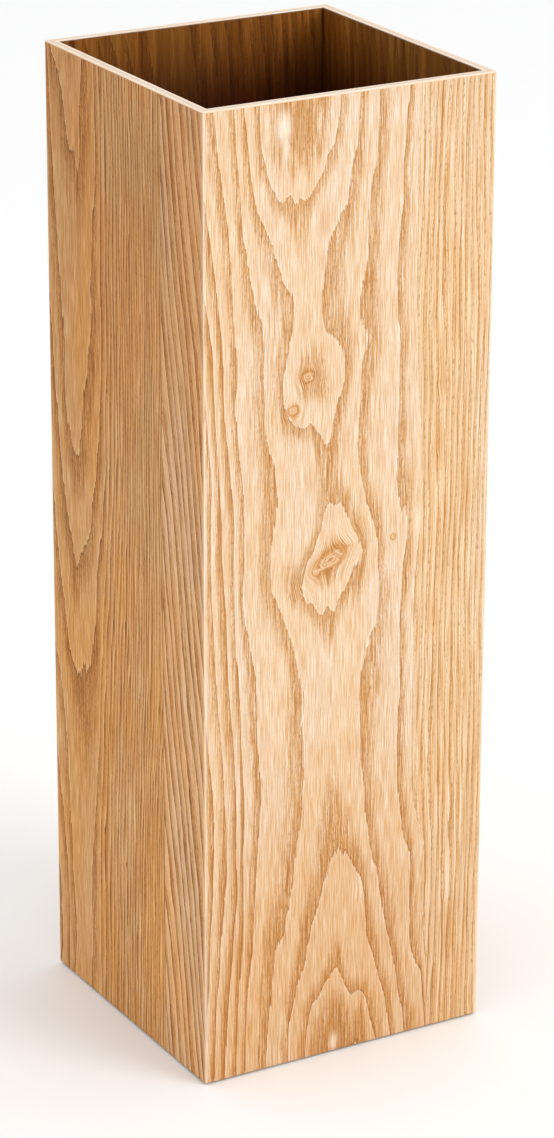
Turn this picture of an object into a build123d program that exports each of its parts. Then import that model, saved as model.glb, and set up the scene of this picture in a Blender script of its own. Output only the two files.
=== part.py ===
from build123d import *

import os

# Square wooden umbrella stand: four mitred veneered walls round a grooved-in base,
# with a banded rim, corner blocks, screwed-on rubber feet and a lift-out drip tray.
# Millimetres, +Z up. The origin is the middle of the footprint on the floor, and the
# front wall faces -Y.

# Driving dimensions
WIDTH = 160.0               # outside, along X and along Y
HEIGHT = 500.0              # floor to rim
FOOT_PROUD = 1.0            # how far the walls stand off the floor
WALL = 5.0                  # whole wall, with both veneers
VENEER = 0.6
BAND = 0.8                  # thickness of the rim's edge banding
CORNER_RADIUS = 0.8         # eased upright corners
RIM_RADIUS = 0.3            # eased edges of the rim
BOTTOM_CHAMFER = 0.4        # eased lower edge of the outer veneer

BASE_UNDERSIDE = 20.0       # height of the base board above the floor
BASE_THICKNESS = 5.0
GROOVE_DEPTH = 1.5          # from the inner face, through the inner veneer into the core
BASE_GAP = 0.1              # room for the base board at the groove's bottom
FLOOR_VENEER_GAP = 0.1

BLOCK_LEG = 36.0            # legs of the triangular corner blocks
BLOCK_HEIGHT = 12.0
BLOCK_NOSE = 2.0            # chamfer on the block's right-angled corner, clear of the glue line

FOOT_TOP_RADIUS = 9.0
FOOT_BOTTOM_RADIUS = 8.0
FOOT_EDGE_RADIUS = 0.8
FOOT_INSET = 10.6           # foot axis to the inner wall faces
FOOT_RECESS_RADIUS = 4.4
FOOT_RECESS_DEPTH = 4.0
FOOT_HOLE_RADIUS = 1.8

WASHER_RADIUS = 4.0
WASHER_THICKNESS = 0.8
WASHER_HOLE_RADIUS = 1.7
SCREW_HEAD_RADIUS = 3.0
SCREW_HEAD_HEIGHT = 1.8
SCREW_SHANK_RADIUS = 1.5
SCREW_LENGTH = 13.0         # under the head
SLOT_WIDTH = 0.8            # cross recess in the screw head
SLOT_LENGTH = 3.6
SLOT_DEPTH = 0.9
PILOT_CLEARANCE = 0.05      # between the screw shank and the corner block

TRAY_GAP = 2.0              # tray rim to the inner wall faces
TRAY_HEIGHT = 32.0
TRAY_DRAFT = 1.6            # how much narrower each side is at the bottom
TRAY_WALL = 1.8
TRAY_CORNER_RADIUS = 9.0
TRAY_LIP = 1.6              # outward rim flange
TRAY_LIP_THICKNESS = 1.8
TRAY_RIB_COUNT = 5
TRAY_RIB_WIDTH = 2.4
TRAY_RIB_HEIGHT = 3.5
TRAY_RIB_ROUND = 1.1        # at the ribs' ends
TRAY_RIB_END_GAP = 12.0     # from the ribs' ends to the tray's inner walls
TRAY_RIM_RADIUS = 0.7        # eased edges of the flange
TRAY_BOTTOM_RADIUS = 3.0     # outside, where the sides meet the bottom
FINGER_NOTCH_WIDTH = 34.0
FINGER_NOTCH_DEPTH = 9.0
FINGER_NOTCH_RADIUS = 7.0

# Worked out from those
INSIDE = WIDTH - 2 * WALL
WALL_BOTTOM = FOOT_PROUD
WALL_TOP = HEIGHT - BAND
BASE_TOP = BASE_UNDERSIDE + BASE_THICKNESS
FLOOR_TOP = BASE_TOP + VENEER
FOOT_HEIGHT = BASE_UNDERSIDE - BLOCK_HEIGHT
FOOT_OFFSET = INSIDE / 2 - FOOT_INSET
SIDES = {"front": 0, "right": 90, "back": 180, "left": 270}
CORNERS = {"front_left": 0, "front_right": 90, "back_right": 180, "back_left": 270}
LOW = (Align.CENTER, Align.CENTER, Align.MIN)


def slab(size, bottom, top, radius=0.0):
    """An upright square prism, with rounded corners where a radius is given."""
    outline = RectangleRounded(size, size, radius) if radius else Rectangle(size, size)
    return Pos(0, 0, bottom) * extrude(outline, top - bottom)


def front_wedge():
    """The quarter of the plan that belongs to the front wall, cut at 45 degrees."""
    reach = WIDTH
    outline = Polyline((0, 0), (-reach, -reach), (reach, -reach), close=True)
    return extrude(make_face(outline), HEIGHT + BAND)


def groove():
    """The space that the base board and its clearance take out of the walls."""
    return slab(INSIDE + 2 * GROOVE_DEPTH, BASE_UNDERSIDE, BASE_TOP)


def ring(outer, inner, bottom, top, radius=0.0):
    return slab(outer, bottom, top, radius) - slab(inner, bottom, top)


def outer_veneer_ring():
    whole = ring(WIDTH, WIDTH - 2 * VENEER, WALL_BOTTOM, WALL_TOP, CORNER_RADIUS)
    lower_edges = whole.edges().filter_by_position(Axis.Z, WALL_BOTTOM, WALL_BOTTOM)
    outside = lower_edges.filter_by(lambda edge: edge.center().length > (WIDTH - VENEER) / 2)
    return chamfer(outside, BOTTOM_CHAMFER)


def core_ring():
    return ring(WIDTH - 2 * VENEER, INSIDE + 2 * VENEER, WALL_BOTTOM, WALL_TOP) - groove()


def inner_veneer_ring():
    return ring(INSIDE + 2 * VENEER, INSIDE, WALL_BOTTOM, WALL_TOP) - groove()


def rim_band_ring():
    whole = ring(WIDTH, INSIDE, WALL_TOP, HEIGHT, CORNER_RADIUS)
    return fillet(whole.edges().filter_by_position(Axis.Z, HEIGHT, HEIGHT), RIM_RADIUS)


def wall_pieces():
    """Each ring is mitred into four, so every wall is a core board with its two veneers and a rim band."""
    rings = {
        "core": core_ring(),
        "outer_veneer": outer_veneer_ring(),
        "inner_veneer": inner_veneer_ring(),
        "rim_band": rim_band_ring(),
    }
    wedge = front_wedge()
    for side, angle in SIDES.items():
        for layer, shape in rings.items():
            yield f"{side}_{layer}", shape & (Rot(0, 0, angle) * wedge)


def base_board():
    return slab(INSIDE + 2 * (GROOVE_DEPTH - BASE_GAP), BASE_UNDERSIDE, BASE_TOP)


def floor_veneer():
    return slab(INSIDE - 2 * FLOOR_VENEER_GAP, BASE_TOP, FLOOR_TOP)


def corner_block():
    """Glued under the base board in the front left corner, with a pilot hole for the foot's screw."""
    corner = -INSIDE / 2
    outline = Polyline(
        (corner + BLOCK_NOSE, corner),
        (corner + BLOCK_LEG, corner),
        (corner, corner + BLOCK_LEG),
        (corner, corner + BLOCK_NOSE),
        close=True,
    )
    block = Pos(0, 0, FOOT_HEIGHT) * extrude(make_face(outline), BLOCK_HEIGHT)
    depth = SCREW_LENGTH - (FOOT_HEIGHT - FOOT_RECESS_DEPTH) - WASHER_THICKNESS + 1
    pilot = Cylinder(SCREW_SHANK_RADIUS + PILOT_CLEARANCE, depth, align=LOW)
    return block - Pos(-FOOT_OFFSET, -FOOT_OFFSET, FOOT_HEIGHT) * pilot


def foot():
    """A tapered rubber bumper with a recess for its screw and washer."""
    body = Cone(FOOT_BOTTOM_RADIUS, FOOT_TOP_RADIUS, FOOT_HEIGHT, align=LOW)
    body = fillet(body.edges().filter_by_position(Axis.Z, 0, 0), FOOT_EDGE_RADIUS)
    body -= Cylinder(FOOT_RECESS_RADIUS, FOOT_RECESS_DEPTH, align=LOW)
    body -= Cylinder(FOOT_HOLE_RADIUS, FOOT_HEIGHT, align=LOW)
    return Pos(-FOOT_OFFSET, -FOOT_OFFSET, 0) * body


def washer():
    disc = Cylinder(WASHER_RADIUS, WASHER_THICKNESS, align=LOW)
    disc -= Cylinder(WASHER_HOLE_RADIUS, WASHER_THICKNESS, align=LOW)
    return Pos(-FOOT_OFFSET, -FOOT_OFFSET, FOOT_RECESS_DEPTH - WASHER_THICKNESS) * disc


def screw():
    """A pan-head screw, head down, with a cross recess."""
    head = Cylinder(SCREW_HEAD_RADIUS, SCREW_HEAD_HEIGHT, align=LOW)
    head = fillet(head.edges().filter_by_position(Axis.Z, 0, 0), SCREW_HEAD_HEIGHT / 2)
    for angle in (0, 90):
        head -= Rot(0, 0, angle) * Box(SLOT_LENGTH, SLOT_WIDTH, SLOT_DEPTH, align=LOW)
    shank = Pos(0, 0, SCREW_HEAD_HEIGHT) * Cylinder(SCREW_SHANK_RADIUS, SCREW_LENGTH, align=LOW)
    head_bottom = FOOT_RECESS_DEPTH - WASHER_THICKNESS - SCREW_HEAD_HEIGHT
    return Pos(-FOOT_OFFSET, -FOOT_OFFSET, head_bottom) * (head + shank)


def tray_form(top_size, inset, bottom, top):
    """A square form with draft and rounded corners and bottom, set in by the same amount all round."""
    wide = top_size - 2 * inset
    narrow = wide - 2 * TRAY_DRAFT
    radius = TRAY_CORNER_RADIUS - inset
    lower = Pos(0, 0, bottom) * RectangleRounded(narrow, narrow, radius)
    upper = Pos(0, 0, top) * RectangleRounded(wide, wide, radius)
    form = loft([lower, upper])
    return fillet(form.edges().filter_by_position(Axis.Z, bottom, bottom), TRAY_BOTTOM_RADIUS - inset)


def tray_flange(size, top):
    flange = slab(size, top - TRAY_LIP_THICKNESS, top, TRAY_CORNER_RADIUS + TRAY_LIP)
    return fillet(flange.edges().filter_by_position(Axis.Z, top, top), TRAY_RIM_RADIUS)


def drip_tray():
    """Moulded tray with a rim flange, ribs that keep umbrella tips out of the water, and finger notches."""
    rim = INSIDE - 2 * TRAY_GAP
    tub = rim - 2 * TRAY_LIP
    top = FLOOR_TOP + TRAY_HEIGHT
    tray = tray_form(tub, 0, FLOOR_TOP, top) + tray_flange(rim, top)
    tray -= tray_form(tub, TRAY_WALL, FLOOR_TOP + TRAY_WALL, top)
    rib_length = tub - 2 * (TRAY_DRAFT + TRAY_WALL + TRAY_RIB_END_GAP)
    pitch = rib_length / (TRAY_RIB_COUNT - 1)
    for index in range(TRAY_RIB_COUNT):
        across = (index - (TRAY_RIB_COUNT - 1) / 2) * pitch
        rib = Box(rib_length, TRAY_RIB_WIDTH, TRAY_WALL + TRAY_RIB_HEIGHT, align=LOW)
        rib = fillet(rib.edges().filter_by(Axis.Z), TRAY_RIB_ROUND)
        tray += Pos(0, across, FLOOR_TOP) * rib
    notch = extrude(RectangleRounded(FINGER_NOTCH_WIDTH, 2 * FINGER_NOTCH_DEPTH, FINGER_NOTCH_RADIUS), WIDTH)
    return tray - Pos(0, WIDTH / 2, top) * Rot(90, 0, 0) * notch


def round_corners(piece):
    """The front left piece, repeated at all four corners."""
    return {corner: Rot(0, 0, angle) * piece for corner, angle in CORNERS.items()}


def nodes():
    yield from wall_pieces()
    yield "base_board", base_board()
    yield "floor_veneer", floor_veneer()
    for corner, block in round_corners(corner_block()).items():
        yield f"corner_block_{corner}", block
    for corner, bumper in round_corners(foot()).items():
        yield f"foot_{corner}", bumper
    yield "foot_washers", Compound(children=list(round_corners(washer()).values()))
    yield "foot_screws", Compound(children=list(round_corners(screw()).values()))
    yield "drip_tray", drip_tray()


os.makedirs("parts", exist_ok=True)
for name, shape in nodes():
    export_step(shape, f"parts/{name}.step")
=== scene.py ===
import math
import bpy
import numpy as np
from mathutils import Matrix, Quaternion, Vector


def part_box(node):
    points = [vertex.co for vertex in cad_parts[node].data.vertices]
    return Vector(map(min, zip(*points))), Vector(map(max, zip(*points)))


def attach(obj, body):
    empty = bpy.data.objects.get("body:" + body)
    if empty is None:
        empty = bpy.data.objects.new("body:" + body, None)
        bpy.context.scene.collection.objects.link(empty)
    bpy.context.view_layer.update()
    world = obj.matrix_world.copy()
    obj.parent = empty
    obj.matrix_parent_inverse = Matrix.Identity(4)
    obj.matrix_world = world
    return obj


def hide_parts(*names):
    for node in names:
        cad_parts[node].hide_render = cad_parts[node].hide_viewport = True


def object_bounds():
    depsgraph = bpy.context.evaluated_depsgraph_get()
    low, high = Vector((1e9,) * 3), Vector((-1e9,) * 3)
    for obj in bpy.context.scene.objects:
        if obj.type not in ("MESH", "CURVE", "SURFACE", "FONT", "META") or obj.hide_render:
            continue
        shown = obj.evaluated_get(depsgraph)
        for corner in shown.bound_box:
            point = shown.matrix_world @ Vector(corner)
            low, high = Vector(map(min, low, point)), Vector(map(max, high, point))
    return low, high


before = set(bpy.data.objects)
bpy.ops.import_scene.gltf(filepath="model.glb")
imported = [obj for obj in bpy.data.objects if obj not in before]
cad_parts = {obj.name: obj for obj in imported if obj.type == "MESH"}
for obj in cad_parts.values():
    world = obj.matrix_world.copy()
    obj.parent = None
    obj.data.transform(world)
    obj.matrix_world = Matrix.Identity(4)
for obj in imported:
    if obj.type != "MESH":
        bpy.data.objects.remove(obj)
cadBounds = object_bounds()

mm = 0.001
low, high = cadBounds
middle = (low + high) / 2
boxSize = high - low
sheetWide, sheetTall = 160, 500   # mm, as the figures are drawn

stage = {
    "cameraPlace": (-0.9633, -1.6880, 0.9762),
    "azimuth": 29.87,           # degrees, turning from +Y towards +X
    "elevation": -20.87,
    "roll": 0.21,
    "lens": 130.4,              # mm, on a 36 mm long side
    "floorSize": 40.0,          # metres across
    "floorColour": (0.957, 0.965, 0.972, 1),
    "skyColour": (1.0, 0.997, 0.99, 1),
    "skyStrength": 0.97,
    "keyPlace": (1.3, -2.3, 1.7),
    "keySize": 1.4,
    "keyPower": 30,             # watts
    "keyColour": (1.0, 0.985, 0.96),
}


def makeCamera(spec):
    turn, tilt = math.radians(spec["azimuth"]), math.radians(spec["elevation"])
    ahead = Vector((math.sin(turn) * math.cos(tilt), math.cos(turn) * math.cos(tilt), math.sin(tilt)))
    data = bpy.data.cameras.new("camera")
    data.lens = spec["lens"]
    data.sensor_width = 36
    data.clip_start, data.clip_end = 0.05, 60
    camera = bpy.data.objects.new("camera", data)
    camera.location = spec["cameraPlace"]
    camera.rotation_mode = "QUATERNION"
    roll = Quaternion((0, 0, 1), math.radians(spec["roll"]))
    camera.rotation_quaternion = ahead.to_track_quat("-Z", "Y") @ roll
    bpy.context.scene.collection.objects.link(camera)
    bpy.context.scene.camera = camera


def makeLamp(name, place, size, power, colour):
    data = bpy.data.lights.new(name, "AREA")
    data.shape = "SQUARE"
    data.size = size
    data.energy = power
    data.color = colour
    lamp = bpy.data.objects.new(name, data)
    lamp.location = place
    lamp.rotation_mode = "QUATERNION"
    lamp.rotation_quaternion = (Vector(middle) - Vector(place)).to_track_quat("-Z", "Y")
    bpy.context.scene.collection.objects.link(lamp)


def makeSky(spec):
    world = bpy.data.worlds.new("softRoom")
    world.use_nodes = True
    back = world.node_tree.nodes["Background"]
    back.inputs["Color"].default_value = spec["skyColour"]
    back.inputs["Strength"].default_value = spec["skyStrength"]
    bpy.context.scene.world = world


makeCamera(stage)
makeSky(stage)
makeLamp("keyLamp", stage["keyPlace"], stage["keySize"], stage["keyPower"], stage["keyColour"])
bpy.context.scene.view_settings.view_transform = "Standard"
print("camera and lamps made")


class Signal:
    # one number that varies over a surface: arithmetic on it adds Math nodes
    def __init__(self, shader, socket):
        self.shader = shader
        self.socket = socket

    def __add__(self, other):
        return self.shader.sum("ADD", self, other)

    def __radd__(self, other):
        return self.shader.sum("ADD", other, self)

    def __sub__(self, other):
        return self.shader.sum("SUBTRACT", self, other)

    def __rsub__(self, other):
        return self.shader.sum("SUBTRACT", other, self)

    def __mul__(self, other):
        return self.shader.sum("MULTIPLY", self, other)

    def __rmul__(self, other):
        return self.shader.sum("MULTIPLY", other, self)

    def __truediv__(self, other):
        return self.shader.sum("DIVIDE", self, other)

    def __pow__(self, other):
        return self.shader.sum("POWER", self, other)


class Finish:
    # one material and its Principled shader
    def __init__(self, name, **constants):
        self.material = bpy.data.materials.new(name)
        self.material.use_nodes = True
        self.tree = self.material.node_tree
        self.surface = self.tree.nodes["Principled BSDF"]
        for socket, value in constants.items():
            self.surface.inputs[socket.replace("_", " ")].default_value = value

    def node(self, kind, settings=None, inputs=None, output=0):
        made = self.tree.nodes.new(kind)
        for key, value in (settings or {}).items():
            if key == "stops":
                self.setStops(made.color_ramp, value)
            else:
                setattr(made, key, value)
        for key, value in (inputs or {}).items():
            self.feed(made.inputs[key], value)
        return Signal(self, made.outputs[output])

    def feed(self, socket, value):
        if isinstance(value, Signal):
            self.tree.links.new(value.socket, socket)
        else:
            socket.default_value = value

    def setStops(self, ramp, stops):
        while len(ramp.elements) < len(stops):
            ramp.elements.new(1.0)
        for element, (place, colour) in zip(ramp.elements, stops):
            element.position = place
            element.color = (*colour, 1)

    def sum(self, operation, a, b=0.0):
        return self.node("ShaderNodeMath", {"operation": operation}, {0: a, 1: b})

    def clamp(self, value):
        return self.node("ShaderNodeClamp", {}, {"Value": value})

    def ease(self, value, start, end, first=0.0, last=1.0):
        # an S-curve from first to last as the value goes from start to end
        span = {"From Min": start, "From Max": end, "To Min": first, "To Max": last}
        return self.node("ShaderNodeMapRange", {"interpolation_type": "SMOOTHSTEP"}, {"Value": value, **span})

    def bell(self, value, width):
        # e to the minus square of value over width
        return self.sum("POWER", 2.718, (value / width) ** 2 * -1)

    def read(self, name):
        return self.node("ShaderNodeAttribute", {"attribute_name": name}, output="Fac")

    def place(self):
        return self.node("ShaderNodeTexCoord", output="Object")

    def split(self, vector):
        parts = self.node("ShaderNodeSeparateXYZ", {}, {0: vector})
        return [Signal(self, socket) for socket in parts.socket.node.outputs]

    def join(self, x, y, z):
        return self.node("ShaderNodeCombineXYZ", {}, {0: x, 1: y, 2: z})

    def noise(self, vector, scale=1.0, detail=2.0, roughness=0.5, distortion=0.0):
        values = {"Vector": vector, "Scale": scale, "Detail": detail, "Roughness": roughness}
        return self.node("ShaderNodeTexNoise", {}, {**values, "Distortion": distortion})

    def chance(self, value):
        return self.node("ShaderNodeTexWhiteNoise", {"noise_dimensions": "1D"}, {"W": value})

    def blend(self, a, b, factor, how="MIX"):
        settings = {"data_type": "RGBA", "blend_type": how}
        return self.node("ShaderNodeMix", settings, {0: factor, 6: a, 7: b}, output=2)

    def tinted(self, colour, tint, share):
        # the colour, multiplied by the tint where the share is 1
        return self.blend(colour, self.blend(colour, tint, 1.0, "MULTIPLY"), share)

    def bump(self, height, distance, strength=1.0):
        inputs = {"Height": height, "Distance": distance, "Strength": strength}
        return self.node("ShaderNodeBump", {}, inputs, output="Normal")

    def finish(self, colour=None, roughness=None, normal=None):
        wanted = {"Base Color": colour, "Roughness": roughness, "Normal": normal}
        for key, value in wanted.items():
            if value is not None:
                self.feed(self.surface.inputs[key], value)
        return self.material


def makeFloor(spec):
    floor = Finish("studioFloor", Roughness=0.9)
    grain = floor.noise(floor.place(), 60.0, 3.0)
    pale = spec["floorColour"]
    dull = tuple(0.985 * c for c in pale[:3]) + (1,)
    floor.finish(colour=floor.blend(pale, dull, grain))
    half = spec["floorSize"] / 2
    corners = [(-half, -half, 0), (half, -half, 0), (half, half, 0), (-half, half, 0)]
    mesh = bpy.data.meshes.new("floor")
    mesh.from_pydata(corners, [], [(0, 1, 2, 3)])
    mesh.materials.append(floor.material)
    thing = bpy.data.objects.new("floor", mesh)
    bpy.context.scene.collection.objects.link(thing)


makeFloor(stage)

# A figure is drawn as growth-ring edges in millimetres: across from the sheet's left edge
# and down from the rim, as seen from outside. The key is the ring's number, counted
# outwards from the heart of the figure.
knottyFigure = {
    "rings": {
        1: [
            [(30, 0), (31, 20), (34, 33), (38, 43), (43, 49), (47, 45), (52, 47), (57, 46), (62, 39),
             (67, 30), (71, 20), (73, 5)],
            [(57, 500), (58, 487), (60, 476), (66, 467), (70, 459), (74, 456), (78, 457), (81, 463),
             (84, 470), (91, 471), (95, 480), (97, 490), (99, 500)],
        ],
        2: [
            [(22, 0), (24, 20), (27, 40), (31, 55), (37, 68), (42, 85), (48, 96), (48, 108), (46, 125),
             (43, 140), (44, 152), (48, 158), (53, 161), (58, 160), (63, 165), (68, 173), (71, 163),
             (73, 152), (77, 140), (77, 128), (71, 119), (66, 115), (64, 103), (66, 88), (68, 72),
             (71, 63), (77, 56), (79, 48), (80, 37), (83, 25), (84, 10), (84.5, 0)],
            [(72, 203), (66, 207), (65, 216), (60, 226), (55, 235), (50, 241), (55, 247), (60, 251),
             (63, 258), (69, 254), (76, 250), (81, 243), (84, 235), (88, 228), (84, 220), (80, 212),
             (77, 205)],
            [(48, 500), (49, 480), (51, 468), (54, 455), (58, 440), (61, 425), (66, 410), (71, 395),
             (76, 388), (81, 392), (86, 400), (90, 410), (91.5, 425), (94, 440), (98, 455), (103, 470),
             (106, 485), (108, 500)],
        ],
        3: [
            [(17, 0), (18, 20), (20, 45), (22, 65), (26, 85), (30, 103), (33, 117), (33, 150), (34.5, 165),
             (38, 175), (39.5, 190), (39, 210), (37, 233), (39, 245), (44, 258), (49, 270), (52, 285),
             (54, 310), (56, 335), (56, 350), (54, 367), (51, 385), (50, 393), (47, 410), (45, 425),
             (40, 435), (38, 450), (37.5, 465), (36.5, 480), (35, 500)],
            [(95, 0), (95, 20), (92, 37), (90.5, 55), (90, 78), (87, 92), (86, 105), (88, 115), (90, 123),
             (87, 135), (86, 150), (85, 165), (85, 180), (88, 195), (90, 205), (93, 213), (96, 222),
             (97, 240), (98, 255), (95, 275), (92, 282), (90, 293), (88, 305), (87.5, 320), (88.5, 340),
             (90, 352), (93, 380), (97, 400), (102, 425), (106, 443), (109, 457), (112, 470),
             (114.5, 482), (116, 500)],
        ],
        4: [
            [(6, 0), (8, 20), (10, 38), (13, 60), (15.5, 85), (17, 108), (18, 130), (17.5, 150), (20, 178),
             (22, 200), (22, 230), (21.5, 250), (25, 265), (28.5, 283), (29.5, 300), (29.5, 320),
             (31.5, 342), (31, 360), (30, 378), (28.5, 400), (26.5, 430), (25, 450), (24, 475),
             (22.5, 500)],
            [(111, 0), (110, 20), (109, 37), (108, 55), (107, 75), (106, 93), (107, 112), (108, 130),
             (107, 150), (107, 180), (108, 200), (110, 213), (114, 219), (113, 232), (111, 242),
             (110.5, 260), (110.5, 300), (110, 330), (110, 352), (112, 375), (114, 388), (117.5, 400),
             (118, 415), (118.5, 432), (119.5, 450), (122, 462), (126, 467), (126.5, 478), (128, 500)],
        ],
        5: [
            [(-4, 0), (0, 38), (3, 57), (7, 83), (10, 105), (11, 150), (13.5, 170), (15.5, 190), (16, 225),
             (17, 255), (19, 290), (21, 320), (22.5, 345), (22, 380), (21, 425), (19.5, 460), (18, 500)],
            [(118, 0), (117, 30), (117, 60), (118, 125), (119, 150), (121, 175), (122.5, 205), (121, 225),
             (119, 250), (118, 300), (118.5, 350), (120, 370), (123, 385), (126.5, 395), (125.5, 402),
             (124.5, 415), (126, 435), (128.5, 455), (130, 480), (131, 500)],
        ],
        6: [[(0, 85), (3, 103), (5.5, 130), (8, 165), (9.5, 190), (10, 225), (12, 255), (15, 300), (17, 330),
             (18, 360), (18, 400), (15, 440), (12.5, 470), (11, 500)]],
        7: [[(-3, 110), (2, 150), (4, 180), (4, 230), (6, 270), (8, 305), (10, 325), (11, 350), (11, 400),
             (9, 432), (7, 460), (5.5, 485), (5, 500)]],
        8: [[(-2, 230), (0, 290), (3, 320), (5, 345), (5, 380), (3.5, 415), (1.5, 450), (-1, 490)]],
    },
    # ring number between the edges: across, down, number
    "between": [
        (50, 0, 0.24), (50, 14, 0.22), (50, 28, 0.27), (61, 14, 0.28), (42, 25, 0.30), (50, 54, 1.06),
        (37, 14, 0.36), (40, 33, 0.40), (48, 38, 0.40), (55, 37, 0.42), (62, 28, 0.38), (67, 12, 0.36),
        (52, 75, 1.35), (56, 95, 1.6), (57, 122, 1.35), (63, 134, 1.1), (56, 146, 1.12), (68, 150, 1.3),
        (50, 185, 2.85), (67, 190, 2.2), (70, 268, 2.10), (70, 284, 2.45), (63, 300, 2.8), (80, 300, 2.75),
        (70, 345, 2.36), (72, 372, 2.12), (75, 402, 1.80), (75, 425, 1.45), (75, 446, 1.1), (75, 464, 0.42),
        (75, 480, 0.25), (75, 494, 0.2), (68, 488, 0.25), (86, 488, 0.25), (64, 480, 0.34), (70, 468, 0.42),
        (80, 468, 0.42), (90, 480, 0.34), (64, 238, 1.1), (70, 242, 1.15),
        (66, 228, 1.2), (76, 234, 1.15), (72, 212, 1.75), (70, 249, 1.6), (57, 241, 1.45), (46, 240, 2.35),
        (55, 227, 2.4), (52, 253, 2.3), (51, 236, 2.2), (61, 248, 1.5),
    ],
    # the straight-grained strip right of ring 5's second edge: its lean, and how far its lines stray
    "strip": {"edge": (5, 1), "lean": 0.0, "stray": 0.8},
    # across, down, half length, half width, and tilt in degrees
    "knots": [
        (57, 136, 3.6, 2.7, 10), (49, 152, 2.9, 2.5, 0), (70, 231.5, 9.5, 4.2, 27), (62, 236.5, 2.2, 1.9, 0),
        (105.5, 226, 1.5, 1.5, 0),
    ],
    # pale spots: across, down, half width, half height
    "flecks": [(43, 13, 4.2, 8.0), (44.5, 23, 1.6, 7.0), (74, 494, 2.4, 5.0)],
    "fineAcross": (40, 90),     # where the sheet's grid is finer
    "fineDown": (118, 262),
}
quietFigure = {
    "rings": {
        1: [[(6, 0), (11, 8), (15, 15), (18, 22), (21, 36), (24, 47), (28, 48), (31, 50), (33, 54), (35, 46),
             (36, 30), (38, 15), (40, 0)]],
        2: [[(2, 0), (5, 40), (8, 80), (11, 100), (14, 125), (16, 150), (17, 175), (20, 192), (25, 204),
             (29, 208), (32, 198), (36, 182), (39, 165), (43, 148), (46, 130), (46, 110), (48, 90), (50, 70),
             (52, 50), (51, 0)]],
        3: [[(-2, 100), (3, 150), (7, 185), (10, 205), (13, 225), (18, 240), (23, 257), (27, 267), (31, 259),
             (37, 250), (43, 240), (46, 225), (50, 205), (54, 180), (57, 150), (57, 0)]],
        4: [[(-2, 200), (4, 250), (9, 280), (13, 298), (17, 312), (22, 322), (27, 324), (35, 318), (41, 313),
             (44, 303), (47, 285), (49, 262), (54, 240), (60, 200), (61, 100), (61, 0)]],
        5: [[(0, 310), (6, 332), (10, 348), (13, 365), (15, 400), (17, 440), (18, 500)],
            [(36, 500), (38, 470), (38, 445), (41, 418), (44, 398), (47, 372), (50, 345), (52, 320),
             (55, 290), (58, 262), (61, 230), (64, 190), (65, 100), (65, 0)]],
        6: [[(-1, 360), (3, 385), (6, 402), (10, 425), (12, 445), (13, 470), (12, 500)],
            [(47, 500), (48, 450), (50, 400), (55, 340), (59, 300), (62, 270), (65, 240), (68, 200),
             (69, 100), (69, 0)]],
        24.8: [[(118.5, 0), (118.5, 60), (118.5, 125)]],
        25.6: [[(118.5, 190), (118.5, 250), (118.5, 310)]],
        28.2: [[(118.5, 370), (118.5, 430), (118.5, 500)]],
    },
    "between": [
        (26, 0, 0.3), (26, 30, 0.75), (28, 70, 1.4), (28, 120, 1.7), (28, 230, 2.4), (28, 290, 3.5),
        (27, 360, 4.4), (27, 420, 4.7), (27, 490, 4.75), (94, 0, 15.6), (94, 250, 16.2), (94, 500, 19),
    ],
    "strip": {"edge": None, "start": 118.5, "lean": 0.17, "stray": 1.0},
    "knots": [],
    "flecks": [],
    "fineAcross": (100, 160),
    "fineDown": (0, 60),
}
plainFigure = {
    "rings": {},
    "heart": 92.0,              # across
    "wander": 9.0,              # how far the heart line strays
    "pitch": 5.2,               # mm a ring
    "flat": 26.0,               # half width of the flat-sawn middle
    "climb": 0.011,             # rings a millimetre down, which makes the arches
    "between": [],
    "strip": None,
    "knots": [],
    "flecks": [],
    "fineAcross": (0, 0),
    "fineDown": (0, 0),
}


def hills(here, there):
    # half of r squared times log of r squared, for every pair of points
    squared = ((here[:, None, :] - there[None]) ** 2).sum(2)
    return 0.5 * squared * np.log(squared + 1e-9)


def ringsThrough(figure, across, down, squeeze=4.0, slack=2.0):
    # the smoothest sheet of ring numbers through the drawn edges: a tilted plane plus one
    # hill for each drawn point. Lengths down the grain are squeezed, so it varies slowly there.
    drawn = [(x, y, ring) for ring, edges in figure["rings"].items() for edge in edges for x, y in edge]
    drawn = np.array(drawn + figure["between"], float)
    there = drawn[:, :2] / (1, squeeze)
    count = len(there)
    plane = np.c_[np.ones(count), there]
    system = np.block([[hills(there, there) + slack * np.eye(count), plane], [plane.T, np.zeros((3, 3))]])
    weights = np.linalg.solve(system, np.r_[drawn[:, 2], np.zeros(3)])
    here = np.c_[across.ravel(), down.ravel() / squeeze]
    total = np.c_[np.ones(len(here)), here] @ weights[count:]
    for part in np.array_split(np.arange(len(here)), len(here) // 20000 + 1):
        total[part] += hills(here[part], there) @ weights[:count]
    return total.reshape(across.shape)


def arches(figure, across, down):
    # distance from a wandering heart line that lies under the sheet, in rings, plus a steady
    # climb along the tree, so the middle shows nested arches and the sides run straight
    heart = figure["heart"] + figure["wander"] * (np.sin(down / 71 + 1) + 0.4 * np.sin(down / 29))
    depth = figure["flat"] * (1 + 0.35 * np.sin(down / 83 + 2))
    return np.hypot(across - heart, depth) / figure["pitch"] + figure["climb"] * down


def straightStrip(figure, across, down):
    # right of the strip's edge the rings are parallel lines at one pitch, leaning by one slope
    # and straying as a sum of slow waves. Returns millimetres across them, and beyond that edge.
    strip = figure["strip"]
    if strip["edge"]:
        ring, which = strip["edge"]
        line = np.array(figure["rings"][ring][which])
        start = np.interp(down, line[:, 1], line[:, 0])
    else:
        start = np.full_like(down, strip["start"])
    slid = across - strip["lean"] * down
    stray = np.sin(slid / 6.3 + 1) + 0.6 * np.sin(slid / 2.9 + down / 90) + np.sin(down / 37 + across / 11)
    slid = slid + strip["stray"] * stray
    return slid, across - start


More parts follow.
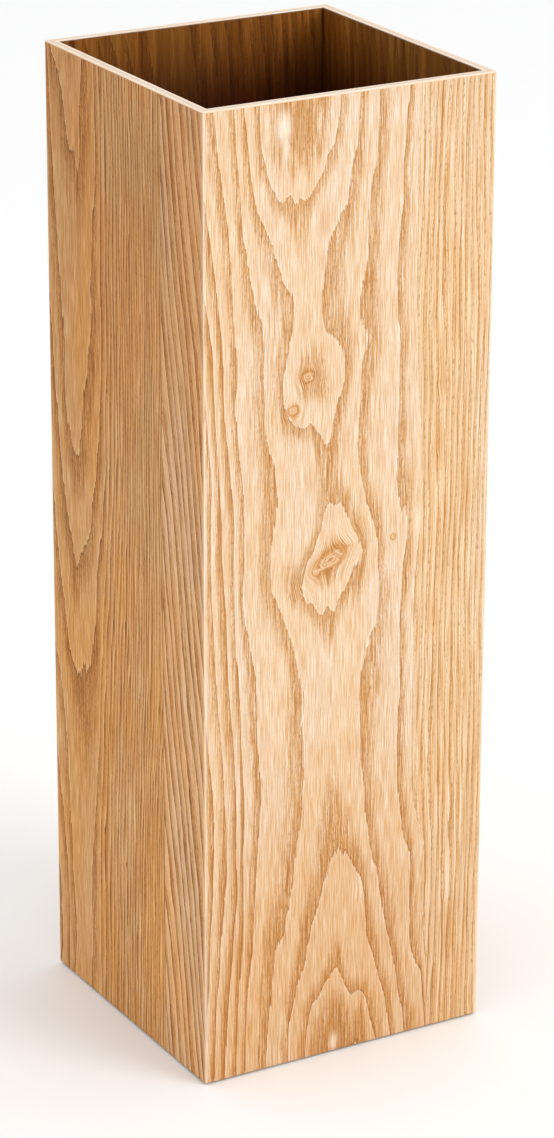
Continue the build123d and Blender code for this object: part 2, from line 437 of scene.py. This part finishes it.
def knotDistance(knot, across, down):
    # distance from the knot's middle, turned to its axes and counted in its half sizes
    x, y, long, short, tilt = knot
    turn = math.radians(tilt)
    along = (across - x) * math.cos(turn) - (down - y) * math.sin(turn)
    aside = (across - x) * math.sin(turn) + (down - y) * math.cos(turn)
    return np.hypot(along / long, aside / short)


widestRing = 26                     # mm; wider ones are shaded as if this wide
farAway = 9.0                       # what knot and beyond hold where nothing is near


def figureAt(figure, across, down):
    # every varying number of the sheet, at each grid point. The width of a ring is one over
    # the steepness of the ring numbers.
    rings = ringsThrough(figure, across, down) if figure["rings"] else arches(figure, across, down)
    climbDown, climbAcross = np.gradient(rings)
    stepDown, stepAcross = np.gradient(down)[0], np.gradient(across)[1]
    steep = np.hypot(climbAcross / stepAcross, climbDown / stepDown)
    pitch = 1 / np.maximum(steep, 1 / widestRing)
    slid, beyond = np.zeros_like(across), np.full_like(across, -farAway)
    if figure["strip"]:
        slid, beyond = straightStrip(figure, across, down)
    fibre = np.where(beyond > 0, slid, across)
    nearest = np.full_like(across, farAway)
    for knot in figure["knots"]:
        away = knotDistance(knot, across, down)
        # fibres part round the knot, as water does round a pier
        fibre -= (across - knot[0]) * 0.85 * np.exp(-((away / 1.7) ** 2))
        nearest = np.minimum(nearest, away)
    pale = np.zeros_like(across)
    for x, y, wide, tall in figure["flecks"]:
        pale = np.maximum(pale, np.exp(-(((across - x) / wide) ** 2 + ((down - y) / tall) ** 2) ** 1.5))
    numbers = {"ring": rings, "pitch": pitch, "fibre": fibre, "knot": nearest, "pale": pale}
    return {**numbers, "slid": slid, "beyond": np.clip(beyond, -farAway, farAway)}


print("figures drawn")

veneer = {
    "cornerRadius": 0.8 * mm,
    "cornerSteps": 4,
    "chamfer": 0.4 * mm,
    "coarse": 0.9,              # grid across the sheet, mm
    "fine": 0.55,
    "coarseDown": 2.1,
    "fineDown": 0.9,
    "innerAcross": 1.2,
    "innerDown": 3.0,
    "wornWidth": 1.1,           # mm of the outer corners that are worn pale
    "seamWidth": 0.9,           # mm of the inner corners that are dark
}
sideAxes = {"front": 0, "right": 1, "back": 2, "left": 3}     # quarter turns about Z


def stops(start, end, coarse, fineSpan=(0, 0), fine=1.0):
    # even steps from start to end, shorter inside the fine span
    places = {start, end, *np.clip(fineSpan, start, end)}
    places = sorted(places)
    runs = []
    for a, b in zip(places, places[1:]):
        step = fine if fineSpan[0] <= (a + b) / 2 <= fineSpan[1] else coarse
        runs.append(np.linspace(a, b, max(2, int(round((b - a) / step)) + 1))[:-1])
    return np.append(np.concatenate(runs), end)


def meshFrom(name, points, quads, caps, numbers):
    # points, four-cornered faces and a few many-cornered caps, all as whole arrays
    sizes = [4] * len(quads) + [len(cap) for cap in caps]
    corners = np.concatenate([quads.ravel(), *caps]).astype(np.int32)
    mesh = bpy.data.meshes.new(name)
    mesh.vertices.add(len(points))
    mesh.vertices.foreach_set("co", points.ravel().astype(np.float32))
    mesh.loops.add(len(corners))
    mesh.loops.foreach_set("vertex_index", corners)
    mesh.polygons.add(len(sizes))
    mesh.polygons.foreach_set("loop_start", np.r_[0, np.cumsum(sizes)[:-1]].astype(np.int32))
    mesh.update(calc_edges=True)
    for key, values in numbers.items():
        layer = mesh.attributes.new(key, "FLOAT", "POINT")
        layer.data.foreach_set("value", values.ravel().astype(np.float32))
    mesh.shade_smooth()
    mesh.set_sharp_from_angle(angle=math.radians(30))
    thing = bpy.data.objects.new(name, mesh)
    bpy.context.scene.collection.objects.link(thing)
    return thing


def carried(profile, heights, shift, seen):
    # the closed plan profile carried up through the heights. Only the first points, the
    # seen side, take the shift, which pulls them back towards the wall at each height.
    # Each face joins a point, its neighbour and the two above them.
    plan = np.repeat(profile[None], len(heights), 0)
    plan[:, :seen] += shift[:, None, None] * np.array((0, 1.0))
    upright = np.repeat(heights[:, None], len(profile), 1)
    points = np.dstack([plan, upright]).reshape(-1, 3)
    count, rows = len(profile), len(heights)
    index = np.arange(rows * count).reshape(rows, count)
    beside = np.roll(index, -1, axis=1)
    quads = np.dstack([index[:-1], beside[:-1], beside[1:], index[1:]]).reshape(-1, 4)
    return points, quads, [index[0, ::-1], index[-1]]


def turned(points, quarter):
    # a whole number of quarter turns about Z
    x, y = points[:, 0].copy(), points[:, 1].copy()
    for _ in range(quarter):
        x, y = -y, x
    return np.c_[x, y, points[:, 2]]


def outerProfile(half, thick, across):
    # straight middle, with an eighth of a round corner at each end, and the mitred back
    radius = veneer["cornerRadius"]
    angles = np.linspace(0, math.pi / 4, veneer["cornerSteps"] + 1)[1:]
    flat = across[(across > -half + radius) & (across < half - radius)]
    flat = np.r_[-half + radius, flat, half - radius]
    right = np.c_[half - radius + radius * np.sin(angles), -half + radius - radius * np.cos(angles)]
    left = (right * (-1, 1))[::-1]
    seen = np.r_[left, np.c_[flat, np.full(len(flat), -half)], right]
    back = half - thick
    return np.r_[seen, [(back, -back), (-back, -back)]], len(seen)


def mirroredNumbers(figure, across, down, spec):
    # the same leaf of veneer turned over, or end for end
    if spec["turnOver"]:
        across = sheetWide - across
    if spec["endForEnd"]:
        down = sheetTall - down
    return figureAt(figure, across, down)


def outerSheet(side, figure, spec):
    lowest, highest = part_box(side + "_outer_veneer")
    half = boxSize.x / 2
    thick = min(highest.x - lowest.x, highest.y - lowest.y)
    fineAcross, fineDown = figure["fineAcross"], figure["fineDown"]
    if spec["turnOver"]:
        fineAcross = (sheetWide - fineAcross[1], sheetWide - fineAcross[0])
    if spec["endForEnd"]:
        fineDown = (sheetTall - fineDown[1], sheetTall - fineDown[0])
    acrossStops = stops(0, sheetWide, veneer["coarse"], fineAcross, veneer["fine"]) * mm - half
    profile, seen = outerProfile(half, thick, acrossStops)
    chamfer = veneer["chamfer"]
    top, bottom = highest.z, lowest.z
    downStops = stops(0, sheetTall, veneer["coarseDown"], fineDown, veneer["fineDown"]) * mm
    rows = high.z - downStops[::-1]
    rows = rows[(rows > bottom + 2 * chamfer) & (rows < top - chamfer)]
    rows = np.r_[bottom, bottom + chamfer, rows, top]
    shift = np.where(rows < bottom + chamfer / 2, chamfer, 0.0)
    points, quads, caps = carried(profile, rows, shift, seen)
    # across is measured along the surface, round the eased corners too
    along = np.r_[0, np.cumsum(np.hypot(*np.diff(profile[:seen], axis=0).T))] / mm
    along = sheetWide / 2 + (along - along[-1] / 2)
    across, down = np.meshgrid(along, (high.z - rows) / mm)
    numbers = mirroredNumbers(figure, across, down, spec)
    padded = {key: np.pad(value, ((0, 0), (0, 2)), mode="edge") for key, value in numbers.items()}
    fromEnd = np.minimum(across, sheetWide - across)
    padded["corner"] = np.pad(np.exp(-((fromEnd / veneer["wornWidth"]) ** 2)), ((0, 0), (0, 2)))
    name = side + "_outer_sheet"
    thing = meshFrom(name, turned(points, sideAxes[side]), quads, caps, padded)
    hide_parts(side + "_outer_veneer")
    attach(thing, "stand")
    return thing


def innerSheet(side, figure, spec):
    # two closed sheets, above and below the groove that the base board sits in
    lowest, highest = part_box(side + "_inner_veneer")
    thick = min(highest.x - lowest.x, highest.y - lowest.y)
    half = boxSize.x / 2
    face = max(highest.x - lowest.x, highest.y - lowest.y) / 2 - thick
    across = stops(-face / mm, face / mm, veneer["innerAcross"]) * mm
    back = face + thick
    seen = len(across)
    profile = np.r_[np.c_[across[::-1], np.full(seen, -face)], [(-back, -back), (back, -back)]]
    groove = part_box("base_board")
    pieces = []
    for bottom, top in ((lowest.z, groove[0].z), (groove[1].z, highest.z)):
        rows = stops(bottom / mm, top / mm, veneer["innerDown"]) * mm
        points, quads, caps = carried(profile, rows, np.zeros(len(rows)), seen)
        grid = np.meshgrid(across / mm + sheetWide / 2, (high.z - rows) / mm)
        numbers = mirroredNumbers(figure, *grid, spec)
        fromSeam = np.minimum(grid[0], sheetWide - grid[0]) - (half - face) / mm
        numbers["corner"] = np.exp(-((fromSeam / veneer["seamWidth"]) ** 2))
        numbers = {key: np.pad(value, ((0, 0), (0, 2)), mode="edge") for key, value in numbers.items()}
        pieces.append((points, quads, caps, numbers))
    first = len(pieces[0][0])
    points = np.concatenate([piece[0] for piece in pieces])
    quads = np.concatenate([pieces[0][1], pieces[1][1] + first])
    caps = pieces[0][2] + [cap + first for cap in pieces[1][2]]
    keys = pieces[0][3]
    numbers = {key: np.concatenate([piece[3][key].ravel() for piece in pieces]) for key in keys}
    name = side + "_inner_sheet"
    thing = meshFrom(name, turned(points, sideAxes[side]), quads, caps, numbers)
    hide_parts(side + "_inner_veneer")
    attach(thing, "stand")
    return thing


grain = {
    # noise along the fibres: mm across them, mm along them, its own place in the noise,
    # its detail and its roughness
    "jagged": (0.9, 24, 1, 2, 0.6),
    "drift": (5, 60, 3, 1, 0.5),
    "longThread": (0.6, 85, 12, 2, 0.65),
    "shortThread": (0.48, 30, 5, 2, 0.65),
    "longHair": (0.3, 34, 13, 1, 0.5),
    "shortHair": (0.28, 16, 6, 1, 0.5),
    "dash": (0.5, 3.0, 7, 1, 0.5),
    "ribbon": (4.5, 150, 8, 2, 0.5),
    "cloud": (30, 110, 9, 1, 0.5),
    "worn": (2, 30, 11, 2, 0.5),
}
narrowRing, wideRing = 3.5, 8       # mm: lines come and go in the first, and hold in the second


def woodFinish(name, look):
    # lacquered open-pored wood on a sheet that carries its figure
    wood = Finish(name, Specular_IOR_Level=look["shine"], Coat_Roughness=0.32, Coat_Weight=look["lacquer"])
    ring, pitch, fibre, knot = [wood.read(key) for key in ("ring", "pitch", "fibre", "knot")]
    pale, slid, corner = [wood.read(key) for key in ("pale", "slid", "corner")]
    height = wood.split(wood.place())[2] * 1000
    seed = look["seed"] * 37.0
    # fibres never run dead straight: they wave by a fraction of a millimetre
    wave = wood.noise(wood.join(fibre / 8, seed, height / 13), 1.0, 1)
    fibre = fibre + (wave - 0.5) * look["wavy"]

    def alongGrain(key):
        wide, tall, depth, detail, roughness = grain[key]
        spot = wood.join(fibre / wide, seed + depth, height / tall)
        return wood.noise(spot, 1.0, detail, roughness)

    # rings: a saw-tooth that starts at each ring's sharp edge
    strip = wood.ease(wood.read("beyond"), -0.1, 0.1)
    plain = 1 - strip
    wide = pitch * plain + look["stripPitch"] * strip
    jagged = (alongGrain("jagged") - 0.5) * look["jagged"]
    drift = (alongGrain("drift") - 0.5) * look["drift"] / wide
    phase = ring * plain + slid / look["stripPitch"] * strip + jagged + drift
    part = wood.sum("FRACT", phase)
    number = wood.sum("FLOOR", phase)
    luck = wood.chance(number + seed)
    outwards = part * wide                     # mm from the ring's sharp edge
    inwards = (1 - part) * wide
    # lines of narrow rings come and go along the grain, those of wide rings hold
    even = wood.ease(wide, narrowRing, wideRing)
    comeAndGo = wood.noise(wood.join(number * 3.7, seed, height / 26), 1.0, 1)
    strength = wood.ease(comeAndGo, 0.32, 0.62, 0.15, 1)
    strength = strength + (1 - strength) * even
    inStrip = plain + strip * look["stripEdge"]
    rim = wood.bell(outwards, look["edgeWidth"]) * strength * (0.3 + 0.9 * luck) * inStrip
    ridge = wood.bell(inwards, look["ridgeWidth"]) * strength * inStrip

    # fibres and pores: light and dark threads everywhere, short dark dashes in the early wood
    longThread, shortThread = alongGrain("longThread"), alongGrain("shortThread")
    longHair, shortHair = alongGrain("longHair"), alongGrain("shortHair")
    thread = wood.ease(longThread + (shortThread - longThread) * even, 0.4, 0.6)
    hair = wood.ease(longHair + (shortHair - longHair) * even, 0.4, 0.6)
    dash = wood.ease(alongGrain("dash"), 0.54, 0.63)
    ribbon = alongGrain("ribbon")
    # early wood holds its tone, then gives way to late wood in streaks. Its share of the ring
    # is smaller in wide rings.
    reach = wood.ease(wide, 3, 22, 0.72, 0.50) + (luck - 0.5) * 0.2
    streaky = part + (thread - 0.5) * 0.12 + (ribbon - 0.5) * 0.2
    early = 1 - wood.ease(streaky, reach * 0.12, reach)
    pores = dash * (0.15 + 0.85 * early)
    # a change with height: on the front and back a warmer, darker foot; on the sides painted shade towards
    # the top, and inside painted shade below the rim
    heightToneAndShade = wood.ease(height, look["toneFrom"], look["toneTo"]) * (1 - strip * look["stripEven"])

    # knots: a dark eye in close rings that wander, and a shadow that fades outwards
    curl = wood.noise(wood.join(fibre / 2.2, seed, height / 2.2), 1.0, 2)
    turnedKnot = knot + (curl - 0.5) * look["knotWander"]
    circles = wood.ease(wood.sum("SINE", turnedKnot * look["knotRings"]), -0.2, 0.9)
    near = 1 - wood.ease(turnedKnot, 0.85, 1.15)
    halo = (1 - wood.ease(knot, 0.9, 2.0)) * (1 - near)
    outline = wood.bell(turnedKnot - 1.0, 0.2)
    eye = 1 - wood.ease(knot, 0.08, 0.26)

    # body runs from 0, the darkest early wood, to 1, the palest late wood
    body = 0.74 - early * (0.8 + 0.4 * luck) * look["depth"] * (plain + strip * look["stripDepth"])
    body = body + (thread - 0.5) * (0.3 + 0.7 * early) * look["thread"] + (hair - 0.5) * look["hair"]
    body = body + (ribbon - 0.5) * look["ribbon"] - heightToneAndShade * look["toneDepth"]
    rim = rim * (1 + heightToneAndShade * look["footEdge"])
    body = body - rim * look["edge"] + ridge * look["ridge"] - halo * 0.2 + strip * look["stripPale"]
    inKnot = 0.66 - circles * 0.34 + (thread - 0.5) * 0.2
    body = body + (inKnot - body) * near - outline * 0.3
    colour = wood.node("ShaderNodeValToRGB", {"stops": look["tones"]}, {0: body})
    colour = wood.blend(colour, look["dark"], wood.clamp(rim * look["edge"] * 0.6 + eye * 0.6))
    colour = wood.blend(colour, look["pore"], pores * look["pores"] * (1 - near * 0.5))
    colour = wood.blend(colour, look["fleck"], wood.clamp(pale * (0.7 + 0.35 * thread)))
    worn = wood.clamp(corner * wood.ease(alongGrain("worn"), 0.2, 0.5) * look["wear"])
    colour = wood.blend(colour, look["fleck"], worn)
    colour = wood.blend(colour, look["dark"], corner * look["seam"])
    # slow changes of tone over the leaf, and the change with height, which on the sides and inside is painted
    # shade
    colour = wood.tinted(colour, look["warmth"], wood.ease(alongGrain("cloud"), 0.38, 0.62))
    colour = wood.tinted(colour, look["stripTone"], strip)
    colour = wood.tinted(colour, look["tone"], heightToneAndShade)

    rough = wood.clamp(look["roughness"] + pores * 0.16 + (hair - 0.5) * 0.08 - corner * 0.05)
    relief = 0.5 * (1 - pores) + thread * 0.25 + hair * 0.12
    relief = relief - rim * look["groove"] - early * 0.15 - outline * 0.2
    return wood.finish(colour, rough, wood.bump(relief, look["bump"] * mm))


frontLook = {
    "seed": 1,
    # from the darkest early wood to the palest late wood
    "tones": [(0.0, (0.44, 0.185, 0.045)), (0.3, (0.60, 0.312, 0.107)), (0.7, (0.745, 0.52, 0.335)),
              (1.0, (0.835, 0.70, 0.565))],
    "dark": (0.36, 0.14, 0.04, 1),
    "pore": (0.43, 0.195, 0.06, 1),
    "fleck": (0.90, 0.77, 0.63, 1),
    "warmth": (1.0, 0.955, 0.86, 1),
    "edge": 0.38,               # the dark line at each ring
    "edgeWidth": 0.5,           # mm
    "ridge": 0.16,              # the pale line before it
    "ridgeWidth": 0.9,
    "pores": 0.7,
    "thread": 0.5,
    "hair": 0.46,
    "ribbon": 0.34,
    "wavy": 1.5,                # mm
    "jagged": 0.2,              # of a ring
    "drift": 4.0,               # mm
    "depth": 0.41,
    "knotRings": 17.0,
    "knotWander": 1.1,
    "stripPitch": 3.5,          # mm a ring
    "stripDepth": 0.45,
    "stripEdge": 0.5,
    "stripPale": -0.04,
    "stripTone": (1.0, 0.99, 0.93, 1),
    "stripEven": 0.5,           # how little the strip follows the slow change of tone
    "footEdge": 1.6,            # how much darker the ring lines are towards toneTo
    "tone": (0.97, 0.91, 0.82, 1),
    "toneDepth": 0.14,
    "toneFrom": 230,            # mm above the floor
    "toneTo": 30,
    "roughness": 0.46,
    "shine": 0.22,
    "lacquer": 0.06,
    "groove": 0.35,
    "bump": 0.15,               # mm
    "wear": 0.9,
    "seam": 0.0,
}
# the left and right faces: a darker, more orange copy of the front's tones, partly the leaf's own colour and
# partly painted shade for faces turned from the lamp
sideToneAndShadeLook = {
    **frontLook,
    "seed": 2,
    "tones": [(0.0, (0.21, 0.064, 0.008)), (0.3, (0.462, 0.184, 0.032)), (0.7, (0.60, 0.288, 0.084)),
              (1.0, (0.80, 0.495, 0.24))],
    "shine": 0.1,
    "lacquer": 0.02,
    "hair": 0.4,
    "dark": (0.17, 0.052, 0.01, 1),
    "pore": (0.25, 0.085, 0.016, 1),
    "fleck": (0.80, 0.55, 0.32, 1),
    "warmth": (1.03, 0.93, 0.72, 1),
    "edge": 0.48,
    "ridge": 0.3,
    "ridgeWidth": 0.8,
    "pores": 0.58,
    "drift": 5.0,
    "stripPitch": 6.2,
    "stripDepth": 1.25,
    "stripEdge": 1.7,
    "stripPale": 0.17,
    "stripTone": (0.99, 1.02, 1.22, 1),
    "stripEven": 0.0,
    "footEdge": 0.0,
    "depth": 0.29,
    # painted shade: the side faces turn darker towards the top, as the light falls on them
    "tone": (0.86, 0.82, 0.80, 1),
    "toneDepth": 0.0,
    "toneFrom": 200,
    "toneTo": 500,
    "groove": 0.8,
    "bump": 0.24,
}
# the inside walls: tones far darker than the outside veneer's, painted shade for the dim inside of the box
innerShadedLook = {
    **frontLook,
    "seed": 3,
    "tones": [(0.0, (0.065, 0.016, 0.001)), (0.3, (0.14, 0.042, 0.003)), (0.7, (0.25, 0.088, 0.009)),
              (1.0, (0.40, 0.17, 0.028))],
    "warmth": (1.03, 0.93, 0.80, 1),
    "thread": 0.3,
    "hair": 0.15,
    "dark": (0.06, 0.018, 0.002, 1),
    "pore": (0.09, 0.03, 0.004, 1),
    "fleck": (0.30, 0.14, 0.04, 1),
    "edge": 0.12,
    "ridge": 0.05,
    "depth": 0.16,
    "ribbon": 1.25,
    # painted shade: the inside walls darken from the rim downwards, as light falls off into the box
    "tone": (0.31, 0.19, 0.06, 1),
    "toneFrom": 500,
    "toneTo": 455,
    "toneDepth": 0.05,
    "lacquer": 0.03,
    "wear": 0.0,
    "seam": 0.85,
    "footEdge": 0.0,
}
outerPlan = {
    "front": (knottyFigure, frontLook, {"turnOver": False, "endForEnd": False}),
    "left": (quietFigure, sideToneAndShadeLook, {"turnOver": False, "endForEnd": False}),
    "back": (knottyFigure, {**frontLook, "seed": 4}, {"turnOver": True, "endForEnd": True}),
    "right": (quietFigure, {**sideToneAndShadeLook, "seed": 5}, {"turnOver": True, "endForEnd": True}),
}
for side, (figure, look, turn) in outerPlan.items():
    sheet = outerSheet(side, figure, turn)
    sheet.data.materials.append(woodFinish(side + "_veneer_finish", look))
    print(side, "outer sheet:", len(sheet.data.polygons), "faces")

innerPlan = {
    "front": (70, 0.010), "right": (100, 0.007), "back": (58, 0.012), "left": (88, 0.009),
}
for order, (side, (heart, climb)) in enumerate(innerPlan.items()):
    figure = {**plainFigure, "heart": heart, "climb": climb}
    sheet = innerSheet(side, figure, {"turnOver": False, "endForEnd": False})
    look = {**innerShadedLook, "seed": 6 + order}
    sheet.data.materials.append(woodFinish(side + "_inner_finish", look))
    print(side, "inner sheet:", len(sheet.data.polygons), "faces")


def dress(material, *nodes):
    # the carried-over meshes keep their shape and take a new finish
    for node in nodes:
        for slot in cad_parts[node].material_slots:
            slot.material = material
    print(material.name, "on", sum(len(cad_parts[node].material_slots) for node in nodes), "slots")


def plainWoodFinish(name, axis, look):
    # straight-grained wood that needs no drawn figure: streaks drawn out along one axis
    wood = Finish(name, Specular_IOR_Level=0.3)
    x, y, z = wood.split(wood.place())
    along, crosswise = (x, y) if axis == "x" else (y, x)
    lengthwise, crosswise, other = along * 1000, crosswise * 1000, z * 1000

    def alongGrain(wide, tall, depth, detail=2.0):
        spot = wood.join(crosswise / wide, other / wide + depth, lengthwise / tall)
        return wood.noise(spot, 1.0, detail)

    band = alongGrain(look["band"], look["band"] * 22, 1)
    fine = alongGrain(0.35, 16, 2, 3)
    dash = wood.ease(alongGrain(0.3, 4, 3, 1), 0.56, 0.72)
    body = wood.clamp(wood.ease(band, 0.3, 0.7) * 0.7 + (fine - 0.5) * 0.8 + 0.15)
    colour = wood.blend(look["dark"], look["pale"], body)
    if "core" in look:
        # seen end-on, the wall's core shows as a darker line between the two veneers
        fromCentre = wood.sum("ABSOLUTE", crosswise)
        fromMiddle = wood.sum("ABSOLUTE", fromCentre - look["coreMiddle"])
        colour = wood.blend(colour, look["core"], wood.ease(fromMiddle, 1.5, 0.5) * look["coreShare"])
        # under its top edge the band takes the tone of the veneer below it, and with it that veneer's painted
        # shade
        veneerTone = wood.blend(look["inside"], look["outside"], wood.ease(fromCentre, 76, 79))
        under = wood.ease(z * 1000 - high.z / mm, -0.28, -0.5)
        colour = wood.blend(colour, veneerTone, under * look["underShare"])
    colour = wood.blend(colour, look["pore"], dash * look["pores"])
    rough = look["roughness"] + dash * 0.12 + (fine - 0.5) * 0.12
    return wood.finish(colour, rough, wood.bump(fine - dash * 0.6, look["bump"] * mm))


bandLook = {
    "band": 2.2,                # mm, the streaks' width
    "dark": (0.83, 0.66, 0.51, 1),
    "pale": (0.93, 0.81, 0.70, 1),
    "pore": (0.62, 0.42, 0.28, 1),
    "core": (0.66, 0.44, 0.27, 1),
    "coreMiddle": 77.5,         # mm from the stand's middle
    "coreShare": 0.5,
    # the inside tone is the inside walls' painted shade
    "inside": (0.20, 0.075, 0.012, 1),      # the tones of the veneers that it covers
    "outside": (0.73, 0.50, 0.31, 1),
    "underShare": 0.9,
    "pores": 0.3,
    "roughness": 0.5,
    "bump": 0.06,
}
blockLook = {
    "band": 1.6,
    "dark": (0.56, 0.35, 0.17, 1),
    "pale": (0.78, 0.58, 0.35, 1),
    "pore": (0.42, 0.24, 0.11, 1),
    "pores": 0.3,
    "roughness": 0.72,
    "bump": 0.16,
}
baseLook = {
    "band": 5.0,
    "dark": (0.52, 0.34, 0.18, 1),
    "pale": (0.70, 0.51, 0.31, 1),
    "pore": (0.38, 0.22, 0.11, 1),
    "pores": 0.4,
    "roughness": 0.68,
    "bump": 0.12,
}
floorLook = {
    "band": 4.0,
    "dark": (0.34, 0.16, 0.055, 1),
    "pale": (0.50, 0.27, 0.11, 1),
    "pore": (0.24, 0.10, 0.03, 1),
    "pores": 0.5,
    "roughness": 0.55,
    "bump": 0.08,
}
dress(plainWoodFinish("rim_band_x", "x", bandLook), "front_rim_band", "back_rim_band")
# the left and right bands copy the side faces' darker tone, partly painted shade
sideBandToneAndShadeLook = {**bandLook, "outside": (0.59, 0.285, 0.09, 1)}
dress(plainWoodFinish("rim_band_y", "y", sideBandToneAndShadeLook), "left_rim_band", "right_rim_band")
blocks = [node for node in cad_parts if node.startswith("corner_block")]
dress(plainWoodFinish("corner_block_finish", "x", blockLook), *blocks)
dress(plainWoodFinish("base_board_finish", "x", baseLook), "base_board")
dress(plainWoodFinish("floor_veneer_finish", "y", floorLook), "floor_veneer")


def fibreboardFinish(look):
    # pressed fibres: short hairs in every direction with darker specks
    board = Finish("fibreboard", Specular_IOR_Level=0.2)
    place = board.place()
    hairs = board.noise(place, 900.0, 4.0, 0.7, 0.6)
    specks = board.ease(board.noise(place, 1500.0, 2.0), 0.62, 0.72)
    cloud = board.noise(place, 30.0, 2.0)
    body = board.clamp(hairs * 0.8 + cloud * 0.4 - 0.1)
    colour = board.blend(look["dark"], look["pale"], body)
    colour = board.blend(colour, look["speck"], specks * 0.6)
    return board.finish(colour, 0.8 + 0.12 * hairs, board.bump(hairs, 0.08 * mm))


coreLook = {
    "dark": (0.30, 0.18, 0.10, 1),
    "pale": (0.50, 0.34, 0.20, 1),
    "speck": (0.16, 0.09, 0.05, 1),
}
dress(fibreboardFinish(coreLook), *[side + "_core" for side in sideAxes])


def rubberFinish(look):
    # matte moulded rubber with a fine grain and a little pale dust where it meets the floor
    rubber = Finish("foot_rubber", Specular_IOR_Level=0.4)
    place = rubber.place()
    height = rubber.split(place)[2]
    pebble = rubber.noise(place, 2600.0, 3.0, 0.6)
    smear = rubber.noise(place, 220.0, 3.0)
    dust = rubber.clamp(rubber.ease(height, look["dustTop"], 0.0) * rubber.ease(smear, 0.4, 0.7))
    colour = rubber.blend(look["black"], look["dust"], dust * 0.35 + pebble * 0.04)
    rough = 0.62 + 0.2 * pebble + dust * 0.1
    return rubber.finish(colour, rough, rubber.bump(pebble, 0.05 * mm))


footLook = {
    "black": (0.018, 0.018, 0.019, 1),
    "dust": (0.22, 0.20, 0.18, 1),
    "dustTop": 0.004,           # metres above the floor
}
feet = [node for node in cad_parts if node.startswith(("foot_front", "foot_back"))]
dress(rubberFinish(footLook), *feet)


def steelFinish(look):
    # zinc plating: soft crystalline patches with fine scratches
    steel = Finish("zinc_steel", Metallic=1.0)
    place = steel.place()
    crystals = steel.noise(place, 700.0, 3.0, 0.6)
    x, y, z = steel.split(place)
    scratches = steel.noise(steel.join(x * 9000, y * 900, z * 900), 1.0)
    colour = steel.blend(look["bright"], look["yellow"], steel.ease(crystals, 0.4, 0.65))
    rough = 0.28 + 0.18 * crystals + 0.14 * scratches
    return steel.finish(colour, rough, steel.bump(scratches + crystals, 0.01 * mm))


fixingsLook = {
    "bright": (0.66, 0.67, 0.68, 1),
    "yellow": (0.62, 0.58, 0.46, 1),
}
dress(steelFinish(fixingsLook), "foot_screws", "foot_washers")


def trayFinish(look):
    # spark-textured plastic with fine scuffs on its ribs and dried drip marks inside
    plastic = Finish("tray_plastic", Specular_IOR_Level=0.45)
    place = plastic.place()
    texture = plastic.noise(place, 1900.0, 3.0, 0.65)
    cloud = plastic.noise(place, 26.0, 3.0)
    x, y, z = plastic.split(place)
    scuff = plastic.noise(plastic.join(x * 60, y * 900, z * 900), 1.0, 3.0, 0.7)
    scuffs = plastic.ease(scuff, 0.60, 0.72) * plastic.ease(cloud, 0.42, 0.6)
    spots = {"Vector": place, "Scale": look["dripScale"]}
    drops = plastic.node("ShaderNodeTexVoronoi", {"feature": "F1"}, spots, output="Distance")
    marks = plastic.ease(drops, 0.36, 0.30) * plastic.ease(cloud, 0.5, 0.62)
    wear = plastic.clamp(scuffs * 0.4 + marks * 0.05 + texture * 0.12)
    colour = plastic.blend(look["body"], look["worn"], wear)
    rough = 0.48 + 0.22 * texture + 0.12 * marks - scuffs * 0.08
    return plastic.finish(colour, rough, plastic.bump(texture, 0.05 * mm))


trayLook = {
    "body": (0.030, 0.028, 0.026, 1),
    "worn": (0.20, 0.18, 0.16, 1),
    "dripScale": 75.0,          # dried drips in a metre
}
dress(trayFinish(trayLook), "drip_tray")
print("finishes made")
